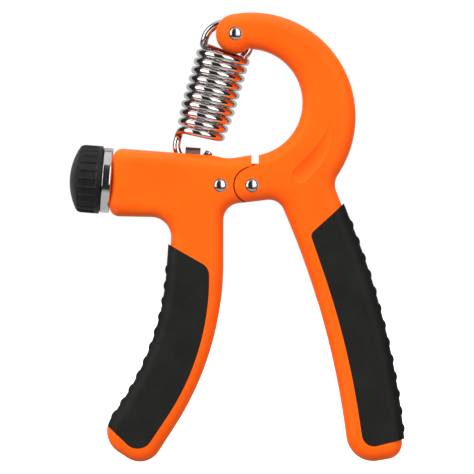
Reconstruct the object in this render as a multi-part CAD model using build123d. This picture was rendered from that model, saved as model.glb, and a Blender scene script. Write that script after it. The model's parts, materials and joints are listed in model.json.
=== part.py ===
from build123d import *
from math import acos, atan2, cos, degrees, radians, sin
import os

# Hand grip strengthener. Millimetres. +X towards the moving handle, +Z up, Y across the depth.
# The origin is at the bottom centre: both handle tips stand on Z = 0.

# ---- driving dimensions ----
FIT = 0.05                  # radial running clearance of pins and journals
HANDLE_HALF_DEPTH = 11.0    # half of the curved arm's and the handles' depth along Y
ARM_HALF_DEPTH = 11.0       # half of the adjuster arm's depth
EDGE_ROUND = 5.0            # rounding of every long moulded edge

PIVOT = (5.8, 101.5)        # both handles turn about this point of the XZ plane
CHEEK_RADIUS = 6.45         # round ends of the moving handle's two cheeks
SEAM_GAP = 0.45             # visible gap around the cheeks
TONGUE_RADIUS = 6.3         # round end of the fixed handle's tongue
TONGUE_THICKNESS = 9.0
TONGUE_GAP = 0.25           # side clearance of the tongue between the cheeks
NOTCH_LEFT_X = 5.65         # fixed handle's lip at the notch over the pivot
NOTCH_RIGHT_X = 8.35        # moving handle's web face at the notch
NOTCH_FLOOR_Z = 109.5       # top of the stop lug on the tongue
STOP_GAP = 0.1              # lug to web face at rest

INNER_CENTRE = (4.7, 132.0)     # inside of the curved arm
INNER_RADIUS = 19.7
OUTER_CENTRE = (5.6, 126.7)     # outside of the curved arm
OUTER_RADIUS = 38.3
SPRING_PIN = (-0.25, 157.2)     # rivet at the curved arm's end
CURVE_END = -32                 # the curved arm's outside ends here, seen from its centre
WAIST_RUN = 4.7                 # straight run from there to the waist's corner
THROAT_ROUND = 1.1              # between the curved arm's inside and its bulb
NECK_LEFT_X = -11.5
NECK_BOTTOM_Z = 93.4
FORK_GAP = 4.0                  # slot in the curved arm's end that takes the spring's loop
FORK_DEPTH_X = 8.0              # how far the slot runs into the arm from the rivet

RIVET_RADIUS = 1.65
RIVET_HEAD_RADIUS = 2.35
RIVET_HEAD_HEIGHT = 1.0
RIVET_WASHER_RADIUS = 2.9
RIVET_WASHER_THICKNESS = 0.5
END_BLOCK_RIVET = (-5.8, 101.5)
PIVOT_BUSH_RADIUS = 2.6

ARM_ORIGIN = (-45.8, 103.2)     # centre of the adjuster arm's end face
ARM_TILT = 4.3                  # the arm's axis falls this many degrees towards the pivot
ARM_END_ROUND = 3.5
CHANNEL_WIDTH = 10.0
CHANNEL_START = 5.0
CHANNEL_END = 44.0
CHANNEL_FLOOR = -6.5
CHANNEL_ROOF = 7.2
SLOT_START = 6.4
SLOT_END = 39.5

SCREW_RADIUS = 3.0              # M6 thread, 1 mm pitch
SCREW_TIP_RADIUS = 2.0
SCREW_THREAD_END = 34.8
SCREW_TIP_END = 37.0
SCREW_HEAD_FLATS = 10.0
BUSH_RADIUS = 4.5
CLIP_START = 5.6
CLIP_THICKNESS = 0.8
CLIP_RADIUS = 4.6
GROOVE_RADIUS = 2.4
WASHER_RADIUS = 7.0
WASHER_THICKNESS = 1.0

RING_RADIUS = 11.95
RING_THICKNESS = 3.75
KNOB_RADIUS = 12.45
KNOB_RIM_LENGTH = 6.7
KNOB_CHAMFER_LENGTH = 1.6
KNOB_CHAMFER_RADIUS = 11.8
KNOB_DOME_HEIGHT = 3.4
KNOB_WALL = 1.8
KNOB_FLUTES = 24
FLUTE_RADIUS = 1.1
FLUTE_DEPTH = 0.35
FLUTE_LENGTH = 5.2

SLIDER_U = 29.0                 # slider nut's place along the arm at rest, the lightest setting
SLIDER_HALF_LENGTH = 4.5
SLIDER_WIDTH = 9.6
SLIDER_FLOOR = -5.5
SLIDER_SHOULDER = 6.0
LUG_HALF_LENGTH = 2.75
LUG_WIDTH = 7.0
LUG_TOP = 14.4
EYE_RADIUS = 1.95

WIRE_RADIUS = 1.41
ELBOW_RADIUS = 1.45             # the wire is a touch thicker where it bends sharply
COIL_RADIUS = 8.6               # mean radius of the coils and of the loop on top
COIL_PITCH = 3.26
COIL_TURNS = 9.0
COIL_TILT = 16.5                # the spring leans this many degrees towards the moving handle
LOOP_CENTRE = (-3.6, 152.8)     # the spring's own coordinates start here, Z up its axis
COIL_TOP = -2.2
LOOP_END = -8                   # the loop stops at this angle, seen from its centre
HOOK_CENTRE = (-1.2, -38.7)     # in the spring's own coordinates
HOOK_RADIUS = 6.25
HOOK_SHANK = 4.0                # straight part of the hook
HOOK_END = 346
HOOK_RISE = 15.05               # the hook's centre over the adjuster arm's axis

GRIP_WALL = 3.0
RIB_RADIUS = 3.0
RIB_PROUD = 0.5
LEFT_RIBS = 11
RIGHT_RIBS = 13
LEFT_PROUD = (-0.9, -0.05)      # how far each grip stands out past the hard plastic, as (x, z)
LEFT_PROUD_END = (0.4, 0.0)     # the left grip runs out level with the plastic at its lower end
RIGHT_PROUD = (0.95, 0.2)


# ---- shared helpers ----
def arm_place(u, v=0.0):
    """Location with +X along the adjuster arm and +Z square to it, u mm from the arm's end."""
    tilt = radians(ARM_TILT)
    x = ARM_ORIGIN[0] + u * cos(tilt) + v * sin(tilt)
    z = ARM_ORIGIN[1] - u * sin(tilt) + v * cos(tilt)
    return Location((x, 0, z), (0, ARM_TILT, 0))


def arm_box(u0, u1, width, v0, v1):
    """Box in the adjuster arm's own directions."""
    return arm_place((u0 + u1) / 2, (v0 + v1) / 2) * Box(u1 - u0, width, v1 - v0)


def arm_cylinder(radius, u0, u1, v=0.0):
    """Cylinder along the adjuster arm."""
    return arm_place((u0 + u1) / 2, v) * Rotation(0, 90, 0) * Cylinder(radius, u1 - u0)


def across(radius, centre, y0, y1):
    """Cylinder along Y through a point of the XZ plane."""
    middle = Location((centre[0], (y0 + y1) / 2, centre[1]), (90, 0, 0))
    return middle * Cylinder(radius, abs(y1 - y0))


def slab(face, half_depth):
    """Solid of an XZ outline, half_depth each way from the middle plane."""
    return extrude(Plane.XZ * face, half_depth, both=True)


def polygon(*points):
    """Closed straight-sided outline."""
    return make_face(Polyline(*points, close=True))


def disc(centre, radius):
    return Pos(*centre) * Circle(radius)


def on_circle(centre, radius, angle):
    """Point of a circle at an angle in degrees."""
    return (centre[0] + radius * cos(radians(angle)), centre[1] + radius * sin(radians(angle)))


def circles_meet(centre_a, radius_a, centre_b, radius_b):
    """Where two circles cross, on the right of the line from a to b."""
    across_x = centre_b[0] - centre_a[0]
    across_z = centre_b[1] - centre_a[1]
    gap = (across_x ** 2 + across_z ** 2) ** 0.5
    along = (radius_a ** 2 - radius_b ** 2 + gap ** 2) / (2 * gap)
    aside = (radius_a ** 2 - along ** 2) ** 0.5
    x = centre_a[0] + (along * across_x + aside * across_z) / gap
    z = centre_a[1] + (along * across_z - aside * across_x) / gap
    return (x, z)


def angle_to(centre, point):
    """Direction of a point from a centre, in degrees."""
    return degrees(atan2(point[1] - centre[1], point[0] - centre[0]))


def rounded(corners):
    """Closed outline of (point, corner radius) pairs."""
    points = [point for point, radius in corners]
    radii = [radius for point, radius in corners]
    return make_face(FilletPolyline(*points, radius=radii, close=True))


def soften(solid, radius, half_depth):
    """Round the front and back edges of a slab."""
    rim = [edge for edge in solid.edges() if abs(abs(edge.center().Y) - half_depth) < 0.01]
    return fillet(rim, radius)


# ---- outlines in the XZ plane ----
LEFT_OUTER = ((-23.4, 89.7), (-26.6, 43.5), (-51.4, 8.7))
LEFT_OUTER_RADIUS = 100
LEFT_INNER = ((-4.7, 94.3), (-4.7, 40.4), (-32.9, -3.2))
RIGHT_OUTER = ((56.95, 47.7), (61.5, 1.9))
RIGHT_OUTER_RADIUS = 285
RIGHT_INNER = ((15.8, 96.7), (34.5, 52.0), (42.0, -1.5))
RIGHT_WAIST = (35.6, 102.4)
RIGHT_GRIP_TOP = (38.76, 94.3)


# The dent's centre line and half width: (x, z, half width at the surface), blunt end first.
DENT_STATIONS = (
    (23.6, 105.4, 3.1),
    (26.5, 108.3, 3.15),
    (29.1, 111.3, 3.0),
    (32.2, 116.2, 2.3),
    (33.9, 120.9, 1.2),
    (34.9, 125.0, 0.1),
)
DENT_BALL = 1.57                # the cutting circles' radius, as a multiple of the half width
DENT_LIFT = 1.21                # and how far their centres lie outside the face


def left_outline():
    """Adjuster arm and fixed handle, run on past the pivot and past the arm's end."""
    return rounded([
        ((-58.0, 116.2), 0),
        ((-8.2, 112.4), 20),
        ((-3.0, 111.2), 14),
        ((23.5, 115.6), 0),
        ((23.5, 97.6), 0),
        (LEFT_INNER[0], 6.3),
        (LEFT_INNER[1], 111),
        (LEFT_INNER[2], 8.2),
        (LEFT_OUTER[2], 9.2),
        (LEFT_OUTER[1], LEFT_OUTER_RADIUS),
        (LEFT_OUTER[0], 7.4),
        ((-58.0, 90.4), 0),
    ])


def right_outline():
    """Curved arm and moving handle, run on to the left past the pivot."""
    bulb_top = angle_to(OUTER_CENTRE, SPRING_PIN)
    reach = ((SPRING_PIN[0] - OUTER_CENTRE[0]) ** 2 + (SPRING_PIN[1] - OUTER_CENTRE[1]) ** 2) ** 0.5
    bulb_radius = OUTER_RADIUS - reach
    throat = circles_meet(INNER_CENTRE, INNER_RADIUS, SPRING_PIN, bulb_radius)
    inner_end = angle_to(INNER_CENTRE, throat)
    bulb_start = angle_to(SPRING_PIN, throat)
    leave = radians(CURVE_END)
    curve_end = on_circle(OUTER_CENTRE, OUTER_RADIUS, CURVE_END)
    waist = (curve_end[0] + WAIST_RUN * sin(leave), curve_end[1] - WAIST_RUN * cos(leave))
    neck_top = (NECK_LEFT_X, INNER_CENTRE[1] - INNER_RADIUS)
    neck_bottom = (NECK_LEFT_X, NECK_BOTTOM_Z)
    handle = FilletPolyline(
        curve_end,
        waist,
        *RIGHT_OUTER,
        *reversed(RIGHT_INNER),
        neck_bottom,
        neck_top,
        radius=[6.3, RIGHT_OUTER_RADIUS, 5.9, 9.9, 302, 5.9, 0],
    )
    inner = CenterArc(INNER_CENTRE, INNER_RADIUS, -90, inner_end + 90)
    bulb = CenterArc(SPRING_PIN, bulb_radius, bulb_start, bulb_top - 360 - bulb_start)
    outer = CenterArc(OUTER_CENTRE, OUTER_RADIUS, bulb_top, CURVE_END - bulb_top)
    neck = Line(neck_top, (INNER_CENTRE[0], neck_top[1]))
    face = make_face([*handle.edges(), neck.edge(), inner.edge(), bulb.edge(), outer.edge()])
    corner = face.vertices().sort_by_distance((throat[0], throat[1], 0))[0]
    return fillet(corner, THROAT_ROUND)


def cheek_outline():
    """Round end of the cheeks with the straight run up to the notch."""
    rise = NOTCH_FLOOR_Z - PIVOT[1]
    run = NOTCH_RIGHT_X - PIVOT[0]
    reach = (rise ** 2 + run ** 2) ** 0.5
    touch = atan2(rise, run) + acos(CHEEK_RADIUS / reach)
    tangent = (PIVOT[0] + CHEEK_RADIUS * cos(touch), PIVOT[1] + CHEEK_RADIUS * sin(touch))
    below = PIVOT[1] - 14
    wedge = polygon(tangent, (NOTCH_RIGHT_X, NOTCH_FLOOR_Z), (NOTCH_RIGHT_X, below), (PIVOT[0], below), PIVOT)
    return disc(PIVOT, CHEEK_RADIUS) + wedge


def left_proud_edge():
    """Corners of the left grip's outer surface, from under the arm to the handle's tip."""
    moves = (LEFT_PROUD, LEFT_PROUD, LEFT_PROUD_END)
    return [(x + move[0], z + move[1]) for (x, z), move in zip(LEFT_OUTER, moves)]


def left_proud_outline():
    """Fixed handle below the arm, its outer edge moved out to the grip's surface."""
    outer = left_proud_edge()
    return rounded([
        (outer[0], 0),
        (outer[1], LEFT_OUTER_RADIUS),
        (outer[2], 9.2),
        (LEFT_INNER[2], 8.2),
        (LEFT_INNER[1], 111),
        (LEFT_INNER[0], 0),
    ])


def right_proud_outline():
    """Moving handle below the pivot, its outer edge moved out to the grip's surface."""
    outer = [(x + RIGHT_PROUD[0], z + RIGHT_PROUD[1]) for x, z in (RIGHT_WAIST, *RIGHT_OUTER)]
    return rounded([
        (outer[0], 0),
        (outer[1], RIGHT_OUTER_RADIUS),
        (outer[2], 5.9),
        (RIGHT_INNER[2], 9.9),
        (RIGHT_INNER[1], 302),
        (RIGHT_INNER[0], 0),
    ])


def left_grip_outline():
    """Area of the fixed handle that the soft grip covers, run on past the outer edge."""
    return rounded([
        ((-34.0, 85.0), 0),
        ((-9.9, 71.3), 5.0),
        ((-9.9, 39.5), 92),
        ((-35.2, 1.7), 5.7),
        ((-62.0, 27.2), 0),
        ((-62.0, 85.0), 0),
    ])


def right_grip_outline():
    """Area of the moving handle that the soft grip covers, run on past the outer edge."""
    return rounded([
        ((44.0, 98.8), 0),
        ((27.2, 83.6), 2.5),
        ((41.0, 43.6), 300),
        ((46.9, 4.5), 4.5),
        ((72.0, 11.0), 0),
        ((72.0, 98.8), 0),
    ])


# ---- fixed handle ----
def along_arm(point):
    """Distance of a point from the adjuster arm's end face, along the arm."""
    tilt = radians(ARM_TILT)
    return (point.X - ARM_ORIGIN[0]) * cos(tilt) - (point.Z - ARM_ORIGIN[1]) * sin(tilt)


def arm_end_edges(solid):
    """Edges that lie on the adjuster arm's end face."""
    spots = (0, 0.5, 1)
    return [e for e in solid.edges() if all(abs(along_arm(e.position_at(t))) < 0.01 for t in spots)]


def rivet_seat(centre, half_depth):
    """Hole and shallow recesses for one rivet and its washer."""
    hole = across(RIVET_RADIUS, centre, -half_depth - 1, half_depth + 1)
    front = across(RIVET_HEAD_RADIUS + 0.15, centre, -half_depth - 1, RIVET_WASHER_THICKNESS - half_depth)
    back = across(RIVET_WASHER_RADIUS + 0.15, centre, half_depth - RIVET_WASHER_THICKNESS, half_depth + 1)
    return hole + front + back


def left_body():
    """Rounded solid of the fixed handle before anything is cut out of it."""
    solid = soften(slab(left_outline(), ARM_HALF_DEPTH), EDGE_ROUND, ARM_HALF_DEPTH)
    solid = solid - arm_box(-40, 0, 60, -40, 40)
    return fillet(arm_end_edges(solid), ARM_END_ROUND)


def left_core():
    """What is left of the fixed handle inside the soft grip."""
    return slab(offset(left_outline(), -GRIP_WALL), HANDLE_HALF_DEPTH - GRIP_WALL)


def tongue(body):
    """Middle third of the fixed handle's end, with the stop lug on top of it."""
    lug_x = NOTCH_RIGHT_X - STOP_GAP
    neck_x = PIVOT[0] - CHEEK_RADIUS - 4
    neck = polygon(
        (neck_x, 90),
        (neck_x, NOTCH_FLOOR_Z),
        (lug_x, NOTCH_FLOOR_Z),
        (lug_x, PIVOT[1]),
        PIVOT,
        (PIVOT[0], 90),
    )
    return body & slab(neck + disc(PIVOT, TONGUE_RADIUS), TONGUE_THICKNESS / 2)


def left_handle(body):
    beyond = polygon((NOTCH_LEFT_X, 80), (NOTCH_LEFT_X, 130), (40, 130), (40, 80))
    solid = body - slab(beyond + disc(PIVOT, CHEEK_RADIUS + SEAM_GAP), 30)
    solid = solid + tongue(body)
    solid = solid - arm_box(CHANNEL_START, CHANNEL_END, CHANNEL_WIDTH, CHANNEL_FLOOR, CHANNEL_ROOF)
    solid = solid - arm_box(SLOT_START, SLOT_END, CHANNEL_WIDTH, CHANNEL_ROOF - 1, 20)
    solid = solid - arm_cylinder(WASHER_RADIUS + 0.1, -1, WASHER_THICKNESS + 0.1)
    solid = solid - arm_cylinder(BUSH_RADIUS, 0, CHANNEL_START + 0.1)
    solid = solid - rivet_seat(END_BLOCK_RIVET, ARM_HALF_DEPTH)
    solid = solid - across(PIVOT_BUSH_RADIUS, PIVOT, -TONGUE_THICKNESS, TONGUE_THICKNESS)
    return solid - (slab(left_grip_outline(), 30) - left_core())


# ---- moving handle ----
def right_body():
    """Rounded solid of the moving handle before anything is cut out of it."""
    return soften(slab(right_outline(), HANDLE_HALF_DEPTH), EDGE_ROUND, HANDLE_HALF_DEPTH)


def right_core():
    """What is left of the moving handle inside the soft grip."""
    return slab(offset(right_outline(), -GRIP_WALL), HANDLE_HALF_DEPTH - GRIP_WALL)


def teardrop(side):
    """Curved, tapering dent in the curved arm's face, side -1 for the front and 1 for the back."""
    centres = [Vector(x, side * (HANDLE_HALF_DEPTH + DENT_LIFT * half), z) for x, z, half in DENT_STATIONS]
    sections = []
    for index, (x, z, half) in enumerate(DENT_STATIONS):
        before = centres[max(index - 1, 0)]
        after = centres[min(index + 1, len(centres) - 1)]
        sections.append(Plane(origin=centres[index], z_dir=after - before) * Circle(DENT_BALL * half))
    blunt_half = DENT_STATIONS[0][2]
    return loft(sections) + Pos(*centres[0]) * Sphere(DENT_BALL * blunt_half * 1.005)


def right_handle(body):
    beside = polygon((-30, 80), (-30, 130), (NOTCH_RIGHT_X, 130), (NOTCH_RIGHT_X, 80))
    solid = body - slab(beside - cheek_outline(), 30)
    over = polygon(
        (-30, 80),
        (-30, 130),
        (NOTCH_RIGHT_X, 130),
        (NOTCH_RIGHT_X, PIVOT[1]),
        PIVOT,
        (PIVOT[0], 80),
    )
    slot = slab(over + disc(PIVOT, TONGUE_RADIUS + TONGUE_GAP), TONGUE_THICKNESS / 2 + TONGUE_GAP)
    solid = solid - slot
    fork_right = SPRING_PIN[0] + FORK_DEPTH_X
    fork = polygon((-20, 140), (-20, 180), (fork_right, 180), (fork_right, 140))
    solid = solid - slab(fork, FORK_GAP / 2)
    solid = solid - rivet_seat(PIVOT, HANDLE_HALF_DEPTH) - rivet_seat(SPRING_PIN, HANDLE_HALF_DEPTH)
    solid = solid - teardrop(-1) - teardrop(1)
    return solid - (slab(right_grip_outline(), 30) - right_core())


# ---- soft grips ----
def ribs(outer_edge, count, first, last, inward):
    """Rounded ribs across the handle's outer edge, evenly spaced between two fractions of its length."""
    depth = RIB_RADIUS - RIB_PROUD
    half_length = HANDLE_HALF_DEPTH - EDGE_ROUND + 1
    made = []
    for index in range(count):
        along = first + (last - first) * index / (count - 1)
        point = outer_edge.position_at(along)
        tangent = outer_edge.tangent_at(along)
        centre = (point.X - inward * tangent.Y * depth, point.Y + inward * tangent.X * depth)
        made.append(across(RIB_RADIUS, centre, -half_length, half_length))
    return made


def grip(outline, core, area, outer_edge, rib_places):
    """Soft cover over the core, standing proud of the hard plastic along the handle's outer edge."""
    cover = soften(slab(outline, HANDLE_HALF_DEPTH), EDGE_ROUND, HANDLE_HALF_DEPTH)
    for rib in ribs(outer_edge, *rib_places):
        cover = cover + rib
    return (cover & slab(area, 30)) - core


def left_grip():
    edge = FilletPolyline(*left_proud_edge(), radius=[LEFT_OUTER_RADIUS])
    return grip(left_proud_outline(), left_core(), left_grip_outline(), edge, (LEFT_RIBS, 0.22, 0.878, 1))


def right_grip():
    edge = FilletPolyline(RIGHT_GRIP_TOP, *RIGHT_OUTER, radius=[RIGHT_OUTER_RADIUS])
    edge = Pos(*RIGHT_PROUD) * edge
    return grip(right_proud_outline(), right_core(), right_grip_outline(), edge, (RIGHT_RIBS, 0.08, 0.892, -1))


# ---- rivets ----
def domed_rivet(centre, half_depth):
    """Rivet along Y with a domed head in front and a closed end over the washer at the back."""
    seat = half_depth - RIVET_WASHER_THICKNESS
    shank = across(RIVET_RADIUS, centre, -seat, half_depth)
    ball = (RIVET_HEAD_RADIUS ** 2 + RIVET_HEAD_HEIGHT ** 2) / (2 * RIVET_HEAD_HEIGHT)
    sink = ball - RIVET_HEAD_HEIGHT
    head = Pos(centre[0], sink - seat, centre[1]) * Sphere(ball)
    head = head & across(RIVET_HEAD_RADIUS, centre, -seat - RIVET_HEAD_HEIGHT - 1, -seat)
    tail = Pos(centre[0], half_depth - sink, centre[1]) * Sphere(ball)
    tail = tail & across(RIVET_HEAD_RADIUS, centre, half_depth, half_depth + RIVET_HEAD_HEIGHT + 1)
    return shank + head + tail


def rivet_washer(centre, half_depth):
    inner = half_depth - RIVET_WASHER_THICKNESS
    ring = across(RIVET_WASHER_RADIUS, centre, inner, half_depth)
    return ring - across(RIVET_RADIUS, centre, inner - 1, half_depth + 1)


def pivot_bush():
    half = TONGUE_THICKNESS / 2
    return across(PIVOT_BUSH_RADIUS, PIVOT, -half, half) - across(RIVET_RADIUS + FIT, PIVOT, -half - 1, half + 1)


# ---- adjuster ----
def knob_profile(shrink):
    """Half section of the knob as (u, radius) points, shrink mm inside its outer surface."""
    rear = -RING_THICKNESS
    shoulder = rear - KNOB_RIM_LENGTH
    brim = shoulder - KNOB_CHAMFER_LENGTH
    apex = brim - KNOB_DOME_HEIGHT + shrink
    rim_radius = KNOB_RADIUS - shrink
    brim_radius = KNOB_CHAMFER_RADIUS - shrink
    sag = brim + shrink * 0.4 - apex
    ball = (brim_radius ** 2 + sag ** 2) / (2 * sag)
    half_angle = atan2(brim_radius, ball - sag) / 2
    crown = (apex + ball - ball * cos(half_angle), ball * sin(half_angle))
    start = (rear, 0)
    side = Polyline(start, (rear, rim_radius), (shoulder + shrink * 0.4, rim_radius), (apex + sag, brim_radius))
    dome = ThreePointArc((apex + sag, brim_radius), crown, (apex, 0))
    return make_face([*side.edges(), *dome.edges(), Line((apex, 0), start)])


def turned(profile):
    """Solid of revolution about the adjuster arm's axis, from a profile of (u, radius)."""
    return arm_place(0) * revolve(Plane.XZ * profile, Axis.X)


def knob_cover():
    """Ribbed black knob, a shell open towards the ring."""
    shell = turned(knob_profile(0)) - turned(knob_profile(KNOB_WALL))
    groove_radius = KNOB_RADIUS + FLUTE_RADIUS - FLUTE_DEPTH
    groove_end = -RING_THICKNESS - 1.5
    for index in range(KNOB_FLUTES):
        turn = Rotation(360 * index / KNOB_FLUTES, 0, 0)
        groove = Pos(groove_end - FLUTE_LENGTH / 2, 0, groove_radius) * Rotation(0, 90, 0)
        shell = shell - arm_place(0) * turn * groove * Cylinder(FLUTE_RADIUS, FLUTE_LENGTH)
    return shell


def screw_head(clearance):
    """Hexagonal head of the adjusting screw, or its pocket."""
    hexagon = RegularPolygon((SCREW_HEAD_FLATS + clearance) / 2, 6, major_radius=False)
    head = extrude(hexagon, 4.0)
    return arm_place(-12.0) * Rotation(0, 90, 0) * head


def knob_core():
    """Plug that fills the knob's shell and holds the screw's head."""
    core = arm_cylinder(KNOB_RADIUS - KNOB_WALL - 0.05, -9.6, -RING_THICKNESS)
    core = core + arm_cylinder(KNOB_CHAMFER_RADIUS - KNOB_WALL - 0.2, -11.0, -9.0)
    core = core - arm_cylinder(SCREW_RADIUS + FIT, -13, 0)
    return core - screw_head(0.1)


def adjusting_screw():
    shank = arm_cylinder(SCREW_RADIUS, -9, SCREW_THREAD_END)
    tip = arm_cylinder(SCREW_TIP_RADIUS, SCREW_THREAD_END - 1, SCREW_TIP_END)
    screw = screw_head(0.0) + shank + tip
    groove_start = CLIP_START - 0.05
    groove_end = CLIP_START + CLIP_THICKNESS + 0.05
    groove = arm_cylinder(SCREW_RADIUS + 1, groove_start, groove_end)
    groove = groove - arm_cylinder(GROOVE_RADIUS, groove_start, groove_end)
    return screw - groove


def chrome_ring():
    ring = arm_cylinder(RING_RADIUS, -RING_THICKNESS, -STOP_GAP)
    rims = [edge for edge in ring.edges() if edge.geom_type == GeomType.CIRCLE]
    ring = fillet(rims, 0.7)
    return ring - arm_cylinder(SCREW_RADIUS + FIT, -10, 5)


def thrust_washer():
    washer = arm_cylinder(WASHER_RADIUS, 0.05, WASHER_THICKNESS + 0.05)
    return washer - arm_cylinder(SCREW_RADIUS + 0.1, -1, 3)


def arm_end_bush():
    start = WASHER_THICKNESS + 0.1
    return arm_cylinder(BUSH_RADIUS, start, CHANNEL_START) - arm_cylinder(SCREW_RADIUS + FIT, -1, 6)


def retaining_clip():
    """Open ring in the screw's groove."""
    end = CLIP_START + CLIP_THICKNESS
    ring = arm_cylinder(CLIP_RADIUS, CLIP_START, end) - arm_cylinder(GROOVE_RADIUS + FIT, CLIP_START - 1, end + 1)
    return ring - arm_box(CLIP_START - 1, end + 1, 4.0, 0, 10)


def slider_nut():
    """Threaded block in the channel, with the lug that holds the spring's hook."""
    u0 = SLIDER_U - SLIDER_HALF_LENGTH
    u1 = SLIDER_U + SLIDER_HALF_LENGTH
    block = arm_box(u0, u1, SLIDER_WIDTH, SLIDER_FLOOR, SLIDER_SHOULDER)
    lug0 = SLIDER_U - LUG_HALF_LENGTH
    lug1 = SLIDER_U + LUG_HALF_LENGTH
    lug = arm_box(lug0, lug1, LUG_WIDTH, SLIDER_SHOULDER - 1, LUG_TOP)
    eye_low = HOOK_RISE - HOOK_RADIUS - 0.1
    eye_high = eye_low + 0.8
    nut = block + lug - arm_cylinder(SCREW_RADIUS + FIT, u0 - 1, u1 + 1)
    for height in (eye_low, eye_high):
        nut = nut - arm_cylinder(EYE_RADIUS - 0.2, lug0 - 1, lug1 + 1, height)
    return nut - arm_box(lug0 - 1, lug1 + 1, 2 * EYE_RADIUS - 0.4, eye_low, eye_high)


def screw_end_block():
    """Block that the second rivet holds; the screw's tip turns in it."""
    start = SCREW_THREAD_END + 0.6
    block = arm_box(start, CHANNEL_END - 0.1, CHANNEL_WIDTH - 0.1, CHANNEL_FLOOR + 0.1, CHANNEL_ROOF - 0.1)
    block = block - arm_cylinder(SCREW_TIP_RADIUS + FIT, start - 1, SCREW_TIP_END + 0.4)
    return block - across(RIVET_RADIUS, END_BLOCK_RIVET, -20, 20)


# ---- spring ----
def spring_place(x=0.0, z=0.0):
    """Location with +Z up the spring's axis, measured from the loop's centre."""
    return Location((LOOP_CENTRE[0], 0, LOOP_CENTRE[1]), (0, COIL_TILT, 0)) * Pos(x, 0, z)


def bent_wire(*edges):
    """Round wire along edges of the XZ plane that meet without a corner."""
    path = Plane.XZ * Wire(list(edges))
    return sweep(Plane(origin=path @ 0, z_dir=path % 0) * Circle(WIRE_RADIUS), path=path)


def main_spring():
    """Open-wound coil with a loop on top and an open hook below."""
    height = COIL_TURNS * COIL_PITCH
    bottom = COIL_TOP - height
    hook_left = (HOOK_CENTRE[0] - HOOK_RADIUS, HOOK_CENTRE[1] + HOOK_SHANK)
    helix = Helix(pitch=COIL_PITCH, height=height, radius=COIL_RADIUS)
    section = Plane(origin=helix @ 0, z_dir=helix % 0) * Circle(WIRE_RADIUS)
    wire = Pos(0, 0, bottom) * Rotation(0, 0, 180) * sweep(section, path=helix, is_frenet=True)
    wire = wire + bent_wire(
        Line((-COIL_RADIUS, COIL_TOP), (-COIL_RADIUS, 0)),
        CenterArc((0, 0), COIL_RADIUS, 180, LOOP_END - 180),
    )
    wire = wire + bent_wire(
        Line(hook_left, (hook_left[0], HOOK_CENTRE[1])),
        CenterArc(HOOK_CENTRE, HOOK_RADIUS, 180, HOOK_END - 180),
    )
    wire = wire + bent_wire(Line((-COIL_RADIUS, bottom), hook_left))
    for x, z in ((-COIL_RADIUS, bottom), (-COIL_RADIUS, COIL_TOP), hook_left):
        wire = wire + Pos(x, 0, z) * Sphere(ELBOW_RADIUS)
    return Location((LOOP_CENTRE[0], 0, LOOP_CENTRE[1]), (0, COIL_TILT, 0)) * wire


# ---- write one file per piece ----
def build():
    left = left_body()
    right = right_body()
    return {
        "left_handle": left_handle(left),
        "left_grip": left_grip(),
        "right_handle": right_handle(right),
        "right_grip": right_grip(),
        "main_spring": main_spring(),
        "knob_cover": knob_cover(),
        "knob_core": knob_core(),
        "chrome_ring": chrome_ring(),
        "adjusting_screw": adjusting_screw(),
        "retaining_clip": retaining_clip(),
        "thrust_washer": thrust_washer(),
        "arm_end_bush": arm_end_bush(),
        "slider_nut": slider_nut(),
        "screw_end_block": screw_end_block(),
        "pivot_bush": pivot_bush(),
        "pivot_rivet": domed_rivet(PIVOT, HANDLE_HALF_DEPTH),
        "pivot_rivet_washer": rivet_washer(PIVOT, HANDLE_HALF_DEPTH),
        "spring_rivet": domed_rivet(SPRING_PIN, HANDLE_HALF_DEPTH),
        "spring_rivet_washer": rivet_washer(SPRING_PIN, HANDLE_HALF_DEPTH),
        "end_block_rivet": domed_rivet(END_BLOCK_RIVET, ARM_HALF_DEPTH),
        "end_block_rivet_washer": rivet_washer(END_BLOCK_RIVET, ARM_HALF_DEPTH),
    }


os.makedirs("parts", exist_ok=True)
for name, piece in build().items():
    export_step(piece, f"parts/{name}.step")
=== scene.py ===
import bpy
import json
from math import atan2, cos, exp, pi, radians, sin
from mathutils import Matrix, Vector


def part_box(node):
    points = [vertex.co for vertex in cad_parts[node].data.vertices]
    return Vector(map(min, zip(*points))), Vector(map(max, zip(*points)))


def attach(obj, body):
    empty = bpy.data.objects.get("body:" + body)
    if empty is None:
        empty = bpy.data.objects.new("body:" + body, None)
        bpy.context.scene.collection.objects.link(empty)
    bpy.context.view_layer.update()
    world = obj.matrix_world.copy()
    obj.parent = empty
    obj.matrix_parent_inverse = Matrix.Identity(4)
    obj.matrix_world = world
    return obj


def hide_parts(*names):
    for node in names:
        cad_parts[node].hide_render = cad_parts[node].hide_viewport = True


# Looks of the hand grip strengthener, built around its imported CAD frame.
# Metres. +X towards the moving handle, +Z up, and the camera looks along +Y.

MM = 0.001
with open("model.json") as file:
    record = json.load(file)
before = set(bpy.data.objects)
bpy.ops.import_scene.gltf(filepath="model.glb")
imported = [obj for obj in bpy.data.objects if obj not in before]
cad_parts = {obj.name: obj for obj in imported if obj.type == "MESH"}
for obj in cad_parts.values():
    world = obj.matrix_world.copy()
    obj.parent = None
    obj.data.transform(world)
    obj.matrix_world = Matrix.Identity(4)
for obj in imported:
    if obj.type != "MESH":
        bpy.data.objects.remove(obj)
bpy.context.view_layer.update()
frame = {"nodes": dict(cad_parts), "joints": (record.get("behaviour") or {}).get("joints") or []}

# ---- places taken from the frame ----
JOINTS = {joint["name"]: joint for joint in frame["joints"]}
ARM_POINT = Vector(JOINTS["knob_turn"]["pos_m"])
ARM_AXIS = Vector(JOINTS["knob_turn"]["axis"]).normalized()
HOOK_POINT = Vector(JOINTS["spring_swing"]["pos_m"])


def middle(node):
    """Centre of a CAD node's box."""
    low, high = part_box(node)
    return (low + high) / 2


def rivet_centre(node):
    """Where a rivet's axis crosses the middle plane."""
    point = middle(node)
    return Vector((point.x, 0, point.z))


PIN_POINT = rivet_centre("spring_rivet")

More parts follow.
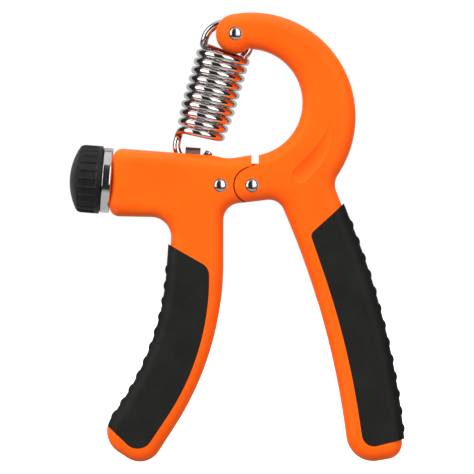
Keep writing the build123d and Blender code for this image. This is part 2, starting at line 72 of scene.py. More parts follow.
# Matrix that stands the adjuster's own coordinates (X along the arm) in the frame.
ARM_UP = ARM_AXIS.cross(Vector((0, -1, 0))).normalized()
if ARM_UP.z < 0:
    ARM_UP = -ARM_UP
ARM_SIDE = ARM_UP.cross(ARM_AXIS)
ARM_FRAME = Matrix.Translation(ARM_POINT) @ Matrix((
    (ARM_AXIS.x, ARM_SIDE.x, ARM_UP.x, 0),
    (ARM_AXIS.y, ARM_SIDE.y, ARM_UP.y, 0),
    (ARM_AXIS.z, ARM_SIDE.z, ARM_UP.z, 0),
    (0, 0, 0, 1),
))

# ---- sizes in millimetres, angles in degrees ----
WIRE_RADIUS = 1.41
WIRE_STEP = 0.3                 # distance between the wire's rings
WIRE_SIDES = 18
WIRE_CHAMFER = 0.28
WIRE_EASING_ROUNDS = 12

COIL_RADIUS = 8.6
COIL_END_RADIUS = 7.55          # the last turns are wound tighter
COIL_TAPER_TURNS = 3.0
COIL_PITCH = 3.25
COIL_TURNS = 10
COIL_START = 0.07               # turn at which the bend from the loop has become coil
COIL_STOP = COIL_TURNS - 0.10   # turn at which the bend into the hook begins
COIL_STEPS = 180                # points on one turn
COIL_TOP = -2.0
COIL_TILT = 16.5

LOOP_RADIUS = 8.5
LOOP_CENTRE = (-3.6, 152.8)     # the spring's own coordinates start here
LOOP_FREE_END = (6.9, 0, -2.2)
LOOP_START_ANGLE = 14
LOOP_END_ANGLE = 172
HOOK_RADIUS = 6.25
HOOK_CENTRE = (-1.2, -38.7)
HOOK_START_ANGLE = 176
HOOK_FREE_ANGLE = 354
ARC_STEPS = 90
FREE_END_WAY = Vector((0.75, 0, 0.66))      # directions of the wire where its bends begin or end
LOOP_START_WAY = Vector((-0.24, 0, 0.97))
LOOP_END_WAY = Vector((0.12, 0, -1))
HOOK_START_WAY = Vector((0.05, 0, -1))
SHANK_GIVE = 3.4                # the stretch goes on this far below the coil, to clear the arm

KNOB_RADIUS = 12.45
KNOB_MIDDLE_RADIUS = 3.2        # first ring of the flat end
KNOB_FACE = -3.75               # flat end towards the ring, measured along the arm
KNOB_FACE_RADIUS = 11.2
KNOB_EDGE_RADIUS = 11.9
KNOB_CORNER = 0.5
KNOB_RIM_START = 0.55           # from the face
KNOB_RIM_LENGTH = 6.15
KNOB_SHOULDER_LENGTH = 1.75
KNOB_SHOULDER_DROP = 0.65
KNOB_SHOULDER_CURVE = 1.6
KNOB_DOME_HEIGHT = 3.25
KNOB_SMOOTH_RADIUS = 10.6       # no ridges inside this radius
KNOB_LIP = 0.2                  # no ridges this near the face
KNOB_RIDGES = 24
KNOB_RIDGE_COLUMNS = 16
KNOB_RIDGE_WIDTH = 0.34
KNOB_RIDGE_HEIGHT = 0.50
KNOB_RIDGE_START = 1.9          # from the face
KNOB_RIDGE_END = 8.2
KNOB_RIDGE_FADE = 7             # larger is a more sudden end
KNOB_LINE = 8.5                 # fine line round the shoulder, from the face
KNOB_LINE_WIDTH = 0.16
KNOB_LINE_DEPTH = 0.15

SCREW_RADIUS = 3.0
SCREW_PITCH = 1.0
SCREW_DEPTH = 0.55
SCREW_START = KNOB_FACE + 0.05
SCREW_MIDDLE_RADIUS = 2.4       # first ring of the flat end
SCREW_GROOVE = (5.55, 6.45)     # for the retaining clip
SCREW_GROOVE_RADIUS = 2.4
SCREW_THREADED = (6.6, 34.4)
SCREW_THREAD_FADE = 1.0
SCREW_FINE = (6.5, 34.6)        # closely spaced rings, to carry the thread
SCREW_FINE_RINGS = 14           # to a millimetre
SCREW_SHOULDER = 34.8
SCREW_SHOULDER_RADIUS = 2.8
SCREW_TIP_RADIUS = 2.0
SCREW_TIP_CHAMFER = 0.4
SCREW_TIP_END = 37.0
SCREW_COLUMNS = 36

RIVET_DOME = 2.20
RIVET_DOME_HEIGHT = 0.86
RIVET_CROWN = 0.35              # how far the polished crown stands past the CAD head
RIVET_COLLAR = 2.49
RIVET_COLLAR_FRONT = 0.48       # from the CAD head's front
RIVET_COLLAR_BACK = 0.95
RIVET_SHANK = 1.65
RIVET_TAIL = 2.35
RIVET_TAIL_EDGE = 2.3
RIVET_TAIL_HEIGHT = 1.1
RIVET_TAIL_DOME = 1.0
RIVET_TAIL_CURVE = 1.3
RIVET_HOLE = 0.25               # small hollow in the middle of the tail
RIVET_HOLE_DEPTH = 0.3
RIVET_HOLE_BEVEL = 0.05
RIVET_COLUMNS = 40

AXIS_FLAT = 0.02                # radius of the tiny flat that closes a turned end
STEP_LENGTH = 0.01              # length given to a sharp step
SHARP_EDGE = 38                 # a turned edge that bends more than this stays sharp

FLOOR_HEIGHT = -12.5
FLOOR_REACH = 12.0              # metres


# ---- material helpers ----
class Shader:
    """Small wrapper that builds one Principled material node by node."""

    def __init__(self, name, metallic=0.0, specular=0.5):
        self.material = bpy.data.materials.new(name)
        self.material.use_nodes = True
        self.nodes = self.material.node_tree.nodes
        self.links = self.material.node_tree.links
        self.surface = self.nodes["Principled BSDF"]
        self.surface.inputs["Metallic"].default_value = metallic
        self.surface.inputs["Specular IOR Level"].default_value = specular
        self.place = self.nodes.new("ShaderNodeTexCoord").outputs["Object"]
        self.normal = None

    def noise(self, size_mm, detail=2.0, roughness=0.5, stretch=(1, 1, 1)):
        """Noise with grains of about size_mm, longer along the axes that stretch names."""
        mapping = self.nodes.new("ShaderNodeMapping")
        mapping.inputs["Scale"].default_value = [1.0 / s for s in stretch]
        self.links.new(self.place, mapping.inputs["Vector"])
        node = self.nodes.new("ShaderNodeTexNoise")
        node.inputs["Scale"].default_value = 1.0 / (size_mm * MM)
        node.inputs["Detail"].default_value = detail
        node.inputs["Roughness"].default_value = roughness
        self.links.new(mapping.outputs["Vector"], node.inputs["Vector"])
        return node.outputs["Fac"]

    def cells(self, size_mm):
        """Voronoi distance, for pitted or grained surfaces."""
        node = self.nodes.new("ShaderNodeTexVoronoi")
        node.inputs["Scale"].default_value = 1.0 / (size_mm * MM)
        self.links.new(self.place, node.inputs["Vector"])
        return node.outputs["Distance"]

    def spread(self, value, low, high):
        """Map a 0 to 1 value onto low to high."""
        node = self.nodes.new("ShaderNodeMapRange")
        node.inputs["To Min"].default_value = low
        node.inputs["To Max"].default_value = high
        self.links.new(value, node.inputs["Value"])
        return node.outputs["Result"]

    def ramp(self, value, stops):
        """Colour ramp through (position, colour) stops."""
        node = self.nodes.new("ShaderNodeValToRGB")
        bands = node.color_ramp
        while len(bands.elements) < len(stops):
            bands.elements.new(0.5)
        for element, (position, colour) in zip(bands.elements, stops):
            element.position = position
            element.color = (*colour, 1)
        self.links.new(value, node.inputs["Fac"])
        return node.outputs["Color"]

    def colour_from(self, value, stops):
        self.links.new(self.ramp(value, stops), self.surface.inputs["Base Color"])

    def roughness_from(self, value, low, high):
        self.links.new(self.spread(value, low, high), self.surface.inputs["Roughness"])

    def bump(self, value, depth_mm, strength=1.0):
        """Raise the surface by value times depth_mm; calls stack."""
        node = self.nodes.new("ShaderNodeBump")
        node.inputs["Strength"].default_value = strength
        node.inputs["Distance"].default_value = depth_mm * MM
        self.links.new(value, node.inputs["Height"])
        if self.normal is not None:
            self.links.new(self.normal, node.inputs["Normal"])
        self.normal = node.outputs["Normal"]
        self.links.new(self.normal, self.surface.inputs["Normal"])


def orange_plastic():
    """Satin injection-moulded plastic: fine moulded grain, faint flow and handling marks."""
    shader = Shader("orange_plastic", specular=0.2)
    shader.colour_from(shader.noise(22, 3.0), [
        (0.3, (0.88, 0.095, 0.0012)),
        (0.7, (0.92, 0.114, 0.0018)),
    ])
    shader.roughness_from(shader.noise(4, 4.0), 0.30, 0.43)
    shader.bump(shader.noise(6.0, 2.0), 0.05, 0.25)
    shader.bump(shader.noise(0.22, 3.0, 0.6), 0.012, 0.5)
    shader.surface.inputs["Subsurface Weight"].default_value = 0.18
    shader.surface.inputs["Subsurface Radius"].default_value = (1.0, 0.25, 0.05)
    shader.surface.inputs["Subsurface Scale"].default_value = 0.0012
    return shader.material


def soft_grip():
    """Matt black rubber with a fine leathery grain and faintly greyer high spots."""
    shader = Shader("soft_grip", specular=0.3)
    shader.colour_from(shader.noise(9, 4.0), [
        (0.3, (0.0038, 0.0040, 0.0036)),
        (0.75, (0.0074, 0.0078, 0.0070)),
    ])
    shader.roughness_from(shader.noise(1.6, 4.0), 0.52, 0.74)
    shader.bump(shader.cells(0.32), 0.03, 0.4)
    shader.bump(shader.noise(0.12, 2.0), 0.015, 0.5)
    return shader.material


def knob_plastic():
    """Harder black plastic of the knob, a little glossier on its worn high spots."""
    shader = Shader("knob_plastic", specular=0.25)
    shader.colour_from(shader.noise(5, 4.0), [
        (0.3, (0.006, 0.0063, 0.0063)),
        (0.75, (0.012, 0.0124, 0.0124)),
    ])
    shader.roughness_from(shader.noise(1.2, 4.0), 0.34, 0.52)
    shader.bump(shader.noise(0.16, 3.0, 0.6), 0.012, 0.5)
    return shader.material


def plated(name, colour, low, high, scratch_mm, stretch):
    """Metal with faint drawing or turning lines and a roughness between low and high."""
    shader = Shader(name, metallic=1.0)
    shader.roughness_from(shader.noise(1.5, 5.0), low, high)
    shader.bump(shader.noise(scratch_mm, 3.0, 0.6, stretch), 0.004, 0.35)
    dim = [c * 0.9 for c in colour]
    shader.colour_from(shader.noise(3.0, 3.0), [(0.3, dim), (0.7, colour)])
    return shader.material


def slider_steel():
    """Brown-tinted steel of the slider's lug, with grinding marks; painted shade darkens its top, which
    lies in shadow in the notch.
    """
    shader = Shader("slider_steel", metallic=0.6)
    # Painted shade: the colour darkens over the top 2.2 mm of the lug, standing in for the shadow on
    # its top down in the notch.
    height = shader.nodes.new("ShaderNodeSeparateXYZ")
    shader.links.new(shader.place, height.inputs["Vector"])
    share = shader.nodes.new("ShaderNodeMapRange")
    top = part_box("slider_nut")[1].z
    share.inputs["From Min"].default_value = top - 2.2 * MM
    share.inputs["From Max"].default_value = top
    shader.links.new(height.outputs["Z"], share.inputs["Value"])
    # Lower stops are the lug's own brown; the dark upper stops are painted shade.
    shader.colour_from(share.outputs["Result"], [
        (0.0, (0.25, 0.15, 0.13)),
        (0.40, (0.20, 0.115, 0.10)),
        (0.55, (0.05, 0.032, 0.028)),
        (1.0, (0.08, 0.05, 0.042)),
    ])
    shader.roughness_from(shader.noise(0.8, 4.0), 0.28, 0.46)
    shader.bump(shader.noise(0.1, 3.0, 0.6, (1, 12, 1)), 0.01, 0.5)
    return shader.material


ORANGE = orange_plastic()
GRIP = soft_grip()
KNOB = knob_plastic()
SPRING = plated("spring_wire", (0.82, 0.81, 0.80), 0.05, 0.13, 0.3, (1, 1, 1))
CHROME = plated("chrome", (0.86, 0.86, 0.87), 0.04, 0.10, 0.2, (1, 30, 30))
RIVET = plated("rivet_steel", (0.74, 0.73, 0.73), 0.12, 0.22, 0.15, (1, 1, 1))
SCREW = plated("screw_steel", (0.62, 0.61, 0.60), 0.18, 0.34, 0.2, (1, 20, 20))
BRASS = plated("bush_brass", (0.72, 0.50, 0.20), 0.16, 0.30, 0.2, (1, 20, 20))
LUG = slider_steel()

FINISHES = {
    "left_handle": ORANGE,
    "right_handle": ORANGE,
    "left_grip": GRIP,
    "right_grip": GRIP,
    "main_spring": SPRING,
    "knob_cover": KNOB,
    "knob_core": KNOB,
    "chrome_ring": CHROME,
    "adjusting_screw": SCREW,
    "retaining_clip": SCREW,
    "thrust_washer": SCREW,
    "arm_end_bush": BRASS,
    "pivot_bush": BRASS,
    "slider_nut": LUG,
    "screw_end_block": LUG,
}

# The rivets and their washers have no entry above.
for name, node in frame["nodes"].items():
    node.data.materials.clear()
    node.data.materials.append(FINISHES.get(name, RIVET))


# ---- mesh helpers ----
def mesh_piece(name, verts, faces, material, body, replaced):
    """New smooth-shaded mesh that rides on a body and stands for CAD nodes."""
    mesh = bpy.data.meshes.new(name)
    mesh.from_pydata(verts, [], faces)
    mesh.validate()
    mesh.shade_smooth()
    mesh.materials.append(material)
    piece = bpy.data.objects.new(name, mesh)
    bpy.context.scene.collection.objects.link(piece)
    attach(piece, body)
    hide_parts(*replaced)
    return piece


def grid_faces(rows, columns):
    """Quads of a grid of rings; each ring closes on itself."""
    faces = []
    for row in range(rows - 1):
        for column in range(columns):
            after = (column + 1) % columns
            low = row * columns
            high = low + columns
            faces.append((low + column, low + after, high + after, high + column))
    return faces


# ---- spring ----
def spring_frame():
    """Matrix of the spring's own coordinates: Z up its axis, origin at the loop's centre."""
    place = Matrix.Translation((LOOP_CENTRE[0] * MM, 0, LOOP_CENTRE[1] * MM))
    return place @ Matrix.Rotation(radians(COIL_TILT), 4, "Y")


def coil_point(turn):
    """Point of the coil after so many turns down from its top left."""
    angle = pi - 2 * pi * turn
    into_taper = max(0.0, turn - (COIL_TURNS - COIL_TAPER_TURNS)) / COIL_TAPER_TURNS
    radius = COIL_RADIUS + (COIL_END_RADIUS - COIL_RADIUS) * into_taper
    return Vector((radius * cos(angle), radius * sin(angle), COIL_TOP - COIL_PITCH * turn))


def circle_point(centre, radius, degrees_round):
    """Point of a circle in the spring's XZ plane."""
    angle = radians(degrees_round)
    return Vector((centre[0] + radius * cos(angle), 0, centre[1] + radius * sin(angle)))


def bend(start, start_way, end, end_way, pull, count):
    """Points between two ends of a smooth bend; pull is how far it follows each end's direction."""
    points = []
    a = start + start_way.normalized() * pull
    b = end - end_way.normalized() * pull
    for index in range(1, count):
        t = index / count
        s = 1 - t
        points.append(s ** 3 * start + 3 * s * s * t * a + 3 * s * t * t * b + t ** 3 * end)
    return points


def arc(centre, radius, start, end):
    """Points along a circle from one angle to another."""
    points = []
    for index in range(ARC_STEPS + 1):
        points.append(circle_point(centre, radius, start + (end - start) * index / ARC_STEPS))
    return points


def wire_path():
    """Centre line of the wire from the loop's free end to the hook's free end."""
    free_end = Vector(LOOP_FREE_END)
    loop = arc((0, 0), LOOP_RADIUS, LOOP_START_ANGLE, LOOP_END_ANGLE)
    points = [free_end]
    points += bend(free_end, FREE_END_WAY, loop[0], LOOP_START_WAY, 1.5, 10)
    points += loop
    entry = coil_point(COIL_START)
    entry_way = coil_point(COIL_START + 0.01) - entry
    points += bend(loop[-1], LOOP_END_WAY, entry, entry_way, 1.9, 16)
    count = int((COIL_STOP - COIL_START) * COIL_STEPS)
    for index in range(count + 1):
        points.append(coil_point(COIL_START + (COIL_STOP - COIL_START) * index / count))
    leave_way = points[-1] - points[-2]
    hook = arc(HOOK_CENTRE, HOOK_RADIUS, HOOK_START_ANGLE, HOOK_FREE_ANGLE)
    points += bend(points[-1], leave_way, hook[0], HOOK_START_WAY, 2.6, 24)
    return points + hook


def even_steps(points, step):
    """The same line with points at even distances."""
    lengths = [0.0]
    for before, after in zip(points, points[1:]):
        lengths.append(lengths[-1] + (after - before).length)
    count = int(lengths[-1] / step)
    made = []
    at = 0
    for index in range(count + 1):
        wanted = lengths[-1] * index / count
        while at < len(points) - 2 and lengths[at + 1] < wanted:
            at += 1
        share = (wanted - lengths[at]) / max(lengths[at + 1] - lengths[at], 1e-9)
        made.append(points[at].lerp(points[at + 1], min(max(share, 0), 1)))
    return made


def relaxed(points, rounds):
    """Ease sharp changes of direction out of a line, keeping its ends."""
    for _ in range(rounds):
        inner = [(points[i - 1] + points[i] * 2 + points[i + 1]) / 4 for i in range(1, len(points) - 1)]
        points = [points[0], *inner, points[-1]]
    return points


def tube(points, radius, sides):
    """Vertices, faces and number of rings of a round tube with chamfered, closed ends."""
    tangents = []
    for index in range(len(points)):
        before = points[max(index - 1, 0)]
        after = points[min(index + 1, len(points) - 1)]
        tangents.append((after - before).normalized())
    side = tangents[0].orthogonal().normalized()
    rings = []
    for index, point in enumerate(points):
        side = (side - tangents[index] * side.dot(tangents[index])).normalized()
        other = tangents[index].cross(side)
        rings.append((point, side.copy(), other, radius))
    narrow = radius - WIRE_CHAMFER
    before_first = points[0] - tangents[0] * WIRE_CHAMFER
    after_last = points[-1] + tangents[-1] * WIRE_CHAMFER
    rings.insert(0, (before_first, rings[0][1], rings[0][2], narrow))
    rings.append((after_last, rings[-1][1], rings[-1][2], narrow))
    verts = []
    for point, across, up, size in rings:
        for column in range(sides):
            angle = 2 * pi * column / sides
            verts.append(point + across * (size * cos(angle)) + up * (size * sin(angle)))
    faces = grid_faces(len(rings), sides)
    faces.append(tuple(reversed(range(sides))))
    faces.append(tuple(range((len(rings) - 1) * sides, len(rings) * sides)))
    return verts, faces, len(rings)


def mark(name, point, body):
    """Empty that rides on a body, for the spring's rig to follow."""
    empty = bpy.data.objects.new(name, None)
    bpy.context.scene.collection.objects.link(empty)
    empty.empty_display_size = 0.005
    empty.location = point
    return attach(empty, body)


def spring_rig(pin_mark):
    """Two bones: one turns with the spring on the slider's hook, one stays at the spring rivet."""
    rig_data = bpy.data.armatures.new("spring_rig")
    rig = bpy.data.objects.new("spring_rig", rig_data)
    bpy.context.scene.collection.objects.link(rig)
    bpy.context.view_layer.objects.active = rig
    bpy.ops.object.mode_set(mode="EDIT")
    reach = PIN_POINT - HOOK_POINT
    # Both bones point from the hook to the rivet; their lengths don't matter.
    ends = {
        "at_slider": (HOOK_POINT, HOOK_POINT + reach * 0.5),
        "at_rivet": (PIN_POINT, PIN_POINT + reach * 0.3),
    }
    for bone_name, (head, tail) in ends.items():
        bone = rig_data.edit_bones.new(bone_name)
        bone.head = head
        bone.tail = tail
        bone.align_roll(Vector((0, 1, 0)))
    bpy.ops.object.mode_set(mode="OBJECT")
    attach(rig, "spring")
    aim = rig.pose.bones["at_slider"].constraints.new("DAMPED_TRACK")
    aim.target = pin_mark
    aim.track_axis = "TRACK_Y"
    keep = rig.pose.bones["at_rivet"].constraints.new("COPY_LOCATION")
    keep.target = pin_mark
    turn = rig.pose.bones["at_rivet"].constraints.new("COPY_ROTATION")
    turn.target = rig
    turn.subtarget = "at_slider"
    return rig


def spring():
    """The wire as one mesh whose coils open between the slider and the spring rivet."""
    line = relaxed(even_steps(wire_path(), WIRE_STEP), WIRE_EASING_ROUNDS)
    verts, faces, rings = tube(line, WIRE_RADIUS, WIRE_SIDES)
    heights = [line[0].z, *[point.z for point in line], line[-1].z]
    place = spring_frame()
    verts = [place @ (vert * MM) for vert in verts]
    piece = mesh_piece("spring_wire", verts, faces, SPRING, "spring", ["main_spring"])
    bottom = COIL_TOP - COIL_PITCH * COIL_TURNS - SHANK_GIVE
    rivet_group = piece.vertex_groups.new(name="at_rivet")
    slider_group = piece.vertex_groups.new(name="at_slider")
    for ring in range(rings):
        share = min(max((heights[ring] - bottom) / (COIL_TOP - bottom), 0.0), 1.0)
        members = list(range(ring * WIRE_SIDES, (ring + 1) * WIRE_SIDES))
        rivet_group.add(members, share, "REPLACE")
        slider_group.add(members, 1 - share, "REPLACE")
    pin_mark = mark("spring_rivet_mark", PIN_POINT, "moving")
    follow = piece.modifiers.new("follow", "ARMATURE")
    follow.object = spring_rig(pin_mark)


# ---- turned pieces ----
def turned_piece(name, stations, columns, radius_at, material, body, replaced, place=ARM_FRAME):
    """Solid of revolution: stations are (u, radius) in mm and radius_at may groove them."""
    verts = []
    for u, radius in stations:
        for column in range(columns):
            angle = 2 * pi * column / columns
            size = radius_at(u, radius, angle)
            point = Vector((u, size * cos(angle), size * sin(angle))) * MM
            verts.append(place @ point)
    faces = grid_faces(len(stations), columns)
    faces.append(tuple(reversed(range(columns))))
    faces.append(tuple(range((len(stations) - 1) * columns, len(stations) * columns)))
    piece = mesh_piece(name, verts, faces, material, body, replaced)
    piece.data.set_sharp_from_angle(angle=radians(SHARP_EDGE))


def plain(u, radius, angle):
    """No grooves."""
    return radius


def knob_stations():
    """Knob profile from the ring's side over the rim and the dome, as (u, radius)."""
    stations = [
        (KNOB_FACE, KNOB_MIDDLE_RADIUS),
        (KNOB_FACE, KNOB_FACE_RADIUS),
        (KNOB_FACE - 0.05, KNOB_EDGE_RADIUS),
    ]
    rim_start = KNOB_FACE - KNOB_RIM_START
    corner_steps = 6
    for step in range(corner_steps + 1):
        angle = radians(90 * step / corner_steps)
        radius = KNOB_RADIUS - KNOB_CORNER + KNOB_CORNER * sin(angle)
        stations.append((rim_start + KNOB_CORNER * cos(angle), radius))
    rim_steps = 30
    for step in range(1, rim_steps + 1):
        stations.append((rim_start - KNOB_RIM_LENGTH * step / rim_steps, KNOB_RADIUS))
    rim_end = rim_start - KNOB_RIM_LENGTH
    shoulder_steps = 8
    for step in range(1, shoulder_steps + 1):
        t = step / shoulder_steps
        radius = KNOB_RADIUS - KNOB_SHOULDER_DROP * t ** KNOB_SHOULDER_CURVE
        stations.append((rim_end - KNOB_SHOULDER_LENGTH * t, radius))
    brim = rim_end - KNOB_SHOULDER_LENGTH
    brim_radius = KNOB_RADIUS - KNOB_SHOULDER_DROP
    ball = (brim_radius ** 2 + KNOB_DOME_HEIGHT ** 2) / (2 * KNOB_DOME_HEIGHT)
    widest = atan2(brim_radius, ball - KNOB_DOME_HEIGHT)
    dome_steps = 28
    for step in range(1, dome_steps + 1):
        angle = widest * (1 - step / dome_steps)
        u = brim - KNOB_DOME_HEIGHT + ball - ball * cos(angle)
        stations.append((u, max(ball * sin(angle), AXIS_FLAT)))
    return stations


def knob_ridges(u, radius, angle):
    """Thin raised ridges from the plain lip to the shoulder, with a fine line round the shoulder."""
    if radius < KNOB_SMOOTH_RADIUS or u > KNOB_FACE - KNOB_LIP:
        return radius
    turn = (angle / (2 * pi) * KNOB_RIDGES + 0.5) % 1.0 - 0.5
    across = turn * 2 * pi * KNOB_RADIUS / KNOB_RIDGES
    ridge = exp(-((across / KNOB_RIDGE_WIDTH) ** 2))
    on_rim = 1 / (1 + exp((u - (KNOB_FACE - KNOB_RIDGE_START)) * KNOB_RIDGE_FADE))
    before_dome = 1 / (1 + exp((u - (KNOB_FACE - KNOB_RIDGE_END)) * -KNOB_RIDGE_FADE))
    valley = KNOB_RIDGE_HEIGHT * (1 - ridge) * on_rim * before_dome
    line = exp(-(((u - (KNOB_FACE - KNOB_LINE)) / KNOB_LINE_WIDTH) ** 2)) * KNOB_LINE_DEPTH
    return radius - valley - line


def screw_thread(u, radius, angle):
    """Rounded V thread that fades out at both plain ends."""
    phase = (u / SCREW_PITCH - angle / (2 * pi)) % 1.0
    tooth = abs(phase - 0.5) * 2
    start, end = SCREW_THREADED
    fade_in = min(max((u - start) / SCREW_THREAD_FADE, 0.0), 1.0)
    fade_out = min(max((end - u) / SCREW_THREAD_FADE, 0.0), 1.0)
    return radius - SCREW_DEPTH * tooth ** 0.8 * fade_in * fade_out


def screw_stations():
    """Screw profile from inside the knob to the tip, as (u, radius)."""
    groove_start, groove_end = SCREW_GROOVE
    fine_start, fine_end = SCREW_FINE
    stations = [
        (SCREW_START, SCREW_MIDDLE_RADIUS),
        (SCREW_START, SCREW_RADIUS),
        (groove_start, SCREW_RADIUS),
        (groove_start + STEP_LENGTH, SCREW_GROOVE_RADIUS),
        (groove_end - STEP_LENGTH, SCREW_GROOVE_RADIUS),
        (groove_end, SCREW_RADIUS),
    ]
    count = int((fine_end - fine_start) * SCREW_FINE_RINGS)
    for step in range(count + 1):
        stations.append((fine_start + (fine_end - fine_start) * step / count, SCREW_RADIUS))
    stations += [
        (SCREW_SHOULDER, SCREW_SHOULDER_RADIUS),
        (SCREW_SHOULDER + 2 * STEP_LENGTH, SCREW_TIP_RADIUS),
        (SCREW_TIP_END - SCREW_TIP_CHAMFER, SCREW_TIP_RADIUS),
        (SCREW_TIP_END, SCREW_TIP_RADIUS - SCREW_TIP_CHAMFER),
    ]
    return stations


def adjuster():
    """Ribbed knob and threaded screw, which turn together."""
    turned_piece("knob", knob_stations(), KNOB_RIDGES * KNOB_RIDGE_COLUMNS, knob_ridges,
                 KNOB, "adjuster", ["knob_cover", "knob_core"])
    turned_piece("threaded_screw", screw_stations(), SCREW_COLUMNS, screw_thread,
                 SCREW, "adjuster", ["adjusting_screw"])


# ---- rivets ----
def rivet_stations(front, back):
    """Profile along the rivet's axis, as (u, radius): crown, collar, shank and rolled-over tail."""
    top = front - RIVET_CROWN
    collar = front + RIVET_COLLAR_FRONT
    seat = front + RIVET_COLLAR_BACK
    tail = back - RIVET_TAIL_HEIGHT
    stations = [(top, AXIS_FLAT)]
    crown_steps = 18
    for step in range(1, crown_steps + 1):
        angle = radians(90 * step / crown_steps)
        stations.append((top + RIVET_DOME_HEIGHT * (1 - cos(angle)), RIVET_DOME * sin(angle)))
    stations += [
        (collar - STEP_LENGTH, RIVET_DOME),
        (collar, RIVET_COLLAR),
        (seat, RIVET_COLLAR),
        (seat + 2 * STEP_LENGTH, RIVET_SHANK),
        (tail, RIVET_SHANK),
        (tail + 2 * STEP_LENGTH, RIVET_TAIL_EDGE),
    ]
    tail_steps = 12
    for step in range(1, tail_steps + 1):
        angle = radians(90 * (1 - step / tail_steps))
        u = back - RIVET_TAIL_DOME * (1 - cos(angle)) ** RIVET_TAIL_CURVE
        stations.append((u, max(RIVET_TAIL * sin(angle), RIVET_HOLE)))
    stations += [
        (back - RIVET_HOLE_DEPTH + RIVET_HOLE_BEVEL, RIVET_HOLE - STEP_LENGTH),
        (back - RIVET_HOLE_DEPTH, AXIS_FLAT),
    ]
    return stations


def rivet(name, node, body):
    """Domed head on a thin collar in front, and the rolled-over tail at the back."""
    low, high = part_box(node)
    stations = rivet_stations(low.y / MM, high.y / MM)
    place = Matrix.Translation(rivet_centre(node)) @ Matrix.Rotation(radians(90), 4, "Z")
    turned_piece(name, stations, RIVET_COLUMNS, plain, RIVET, body, [node], place)


spring()
adjuster()
rivet("domed_pivot_rivet", "pivot_rivet", "moving")
rivet("domed_spring_rivet", "spring_rivet", "moving")
rivet("domed_end_rivet", "end_block_rivet", "fixed")


# ---- stage, light and camera ----
SOFTBOX_WIDTH = 0.8
SOFTBOX_HEIGHT = 1.0
SOFTBOX_TARGET = Vector((0, 0, 0.09))

# Name, place and watts.
SOFTBOXES = (
    ("softbox_left", (-0.95, -0.75, 0.60), 3.0),
    ("softbox_right", (1.0, -0.7, 0.30), 6.0),
)

# Name, direction it comes from, strength, and the angle it is spread over.
DISTANT_LIGHTS = (
    ("overhead", (0.05, 0.15, 1.0), 2.4, 80),
    ("key", (-0.38, -0.66, 0.60), 2.85, 40),
)

# Softboxes mirrored in the metal: azimuth from the camera's side, elevation (degrees), brightness.
MIRRORED_SOFTBOXES = (
    (-84, -40, -14, 50, 2.2),
    (6, 48, -14, 50, 2.0),
)
MIRRORED_DARK = 0.025
MIRRORED_BEHIND = 0.54
MIRRORED_ABOVE = 0.70
MIRRORED_BELOW = 0.50
NO_EDGE = 2.0                   # past every elevation and every Y, so a window has no edge there

WHITE = (1.0, 1.0, 1.0)
MIRRORED_TINT = (1.0, 0.98, 0.97)
FILL_STRENGTH = 0.54

CAMERA_DISTANCE = 4.0
CAMERA_SIDE = 0.0003
CAMERA_HEIGHT = 0.0825
CAMERA_SEES = 0.1744            # width of the picture at the object


def floor():
    """Plain pale floor, low enough for the moving handle's tip to swing past when squeezed."""
    mesh = bpy.data.meshes.new("floor")
    size = FLOOR_REACH
    low = FLOOR_HEIGHT * MM
    corners = [(-size, -size, low), (size, -size, low), (size, size, low), (-size, size, low)]
    mesh.from_pydata(corners, [], [(0, 1, 2, 3)])
    shader = Shader("pale_floor", specular=0.2)
    shader.surface.inputs["Roughness"].default_value = 0.8
    shader.colour_from(shader.noise(300, 2.0), [(0.3, (0.89, 0.89, 0.89)), (0.7, (0.91, 0.91, 0.91))])
    shader.surface.inputs["Emission Color"].default_value = (1, 1, 1, 1)
    shader.surface.inputs["Emission Strength"].default_value = 0.30
    mesh.materials.append(shader.material)
    piece = bpy.data.objects.new("floor", mesh)
    piece.visible_glossy = False
    piece.visible_diffuse = False
    bpy.context.scene.collection.objects.link(piece)


def softbox(name, place, watts):
    """Rectangular area light that faces the object; it is neither seen nor mirrored."""
    data = bpy.data.lights.new(name, "AREA")
    data.shape = "RECTANGLE"
    data.size = SOFTBOX_WIDTH
    data.size_y = SOFTBOX_HEIGHT
    data.energy = watts
    lamp = bpy.data.objects.new(name, data)
    lamp.location = place
    lamp.rotation_euler = (SOFTBOX_TARGET - Vector(place)).to_track_quat("-Z", "Y").to_euler()
    lamp.visible_camera = False
    lamp.visible_glossy = False
    bpy.context.scene.collection.objects.link(lamp)


class WorldNodes:
    """Small wrapper for the arithmetic of the studio's surroundings."""

    def __init__(self, world):
        self.nodes = world.node_tree.nodes
        self.links = world.node_tree.links
        self.nodes.clear()

    def feed(self, socket, value):
        if isinstance(value, (int, float)):
            socket.default_value = value
        else:
            self.links.new(value, socket)

    def maths(self, operation, first, second=0.0):
        node = self.nodes.new("ShaderNodeMath")
        node.operation = operation
        self.feed(node.inputs[0], first)
        self.feed(node.inputs[1], second)
        return node.outputs[0]

    def window(self, value, low, high, soft):
        """1 between low and high, falling softly to 0 outside."""
        rise = self.nodes.new("ShaderNodeMapRange")
        rise.interpolation_type = "SMOOTHSTEP"
        rise.inputs["From Min"].default_value = low - soft
        rise.inputs["From Max"].default_value = low + soft
        self.links.new(value, rise.inputs["Value"])
        fall = self.nodes.new("ShaderNodeMapRange")
        fall.interpolation_type = "SMOOTHSTEP"
        fall.inputs["From Min"].default_value = high - soft
        fall.inputs["From Max"].default_value = high + soft
        fall.inputs["To Min"].default_value = 1.0
        fall.inputs["To Max"].default_value = 0.0
        self.links.new(value, fall.inputs["Value"])
        return self.maths("MULTIPLY", rise.outputs["Result"], fall.outputs["Result"])

    def background(self, colour, strength):
        node = self.nodes.new("ShaderNodeBackground")
        node.inputs["Color"].default_value = (*colour, 1)
        self.feed(node.inputs["Strength"], strength)
        return node.outputs["Background"]

    def choose(self, switch, off, on):
        mix = self.nodes.new("ShaderNodeMixShader")
        self.links.new(switch, mix.inputs[0])
        self.links.new(off, mix.inputs[1])
        self.links.new(on, mix.inputs[2])
        return mix.outputs["Shader"]


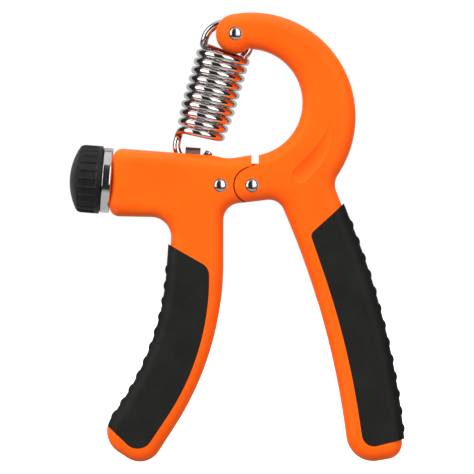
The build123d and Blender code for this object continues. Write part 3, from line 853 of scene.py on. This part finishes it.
def mirrored_light(sky):
    """Brightness of the studio that the metal mirrors, by direction."""
    way = sky.nodes.new("ShaderNodeTexCoord")
    parts = sky.nodes.new("ShaderNodeSeparateXYZ")
    sky.links.new(way.outputs["Generated"], parts.inputs["Vector"])
    toward_front = sky.maths("MULTIPLY", parts.outputs["Y"], -1.0)
    azimuth = sky.maths("ARCTAN2", parts.outputs["X"], toward_front)
    elevation = sky.maths("ARCSINE", parts.outputs["Z"])
    surrounds = (
        (sky.window(parts.outputs["Y"], 0.62, NO_EDGE, 0.10), MIRRORED_BEHIND),
        (sky.window(elevation, radians(56), NO_EDGE, radians(5)), MIRRORED_ABOVE),
        (sky.window(elevation, -NO_EDGE, radians(-36), radians(9)), MIRRORED_BELOW),
    )
    light = MIRRORED_DARK
    for shape, power in surrounds:
        light = sky.maths("MAXIMUM", light, sky.maths("MULTIPLY", shape, power))
    for left, right, low, high, power in MIRRORED_SOFTBOXES:
        across = sky.window(azimuth, radians(left), radians(right), radians(2.5))
        up = sky.window(elevation, radians(low), radians(high), radians(5))
        lit = sky.maths("MULTIPLY", across, up)
        light = sky.maths("MAXIMUM", light, sky.maths("MULTIPLY", lit, power))
    return light


def studio_world():
    """White background, even fill, and a dark studio with softboxes, which only reflections show."""
    world = bpy.data.worlds.new("studio")
    world.use_nodes = True
    bpy.context.scene.world = world
    sky = WorldNodes(world)
    mirrored = sky.background(MIRRORED_TINT, mirrored_light(sky))
    fill = sky.background(WHITE, FILL_STRENGTH)
    seen = sky.background(WHITE, 1.0)
    ray = sky.nodes.new("ShaderNodeLightPath")
    around = sky.choose(ray.outputs["Is Diffuse Ray"], mirrored, fill)
    everything = sky.choose(ray.outputs["Is Camera Ray"], around, seen)
    out = sky.nodes.new("ShaderNodeOutputWorld")
    sky.links.new(everything, out.inputs["Surface"])


def distant_light(name, direction, strength, spread):
    """Even light from one side; the metal mirrors the painted studio and not this."""
    data = bpy.data.lights.new(name, "SUN")
    data.energy = strength
    data.angle = radians(spread)
    lamp = bpy.data.objects.new(name, data)
    lamp.rotation_euler = Vector(direction).to_track_quat("Z", "Y").to_euler()
    lamp.visible_glossy = False
    bpy.context.scene.collection.objects.link(lamp)


def camera():
    """Level camera, square to the object's front, far back with a long lens."""
    data = bpy.data.cameras.new("camera")
    data.sensor_width = 36
    data.lens = data.sensor_width * CAMERA_DISTANCE / CAMERA_SEES
    data.clip_end = 60
    lens = bpy.data.objects.new("camera", data)
    lens.location = (CAMERA_SIDE, -CAMERA_DISTANCE, CAMERA_HEIGHT)
    lens.rotation_euler = (radians(90), 0, 0)
    bpy.context.scene.collection.objects.link(lens)
    bpy.context.scene.camera = lens


floor()
for softbox_values in SOFTBOXES:
    softbox(*softbox_values)
for light_values in DISTANT_LIGHTS:
    distant_light(*light_values)
studio_world()
camera()
bpy.context.scene.view_settings.view_transform = "Standard"
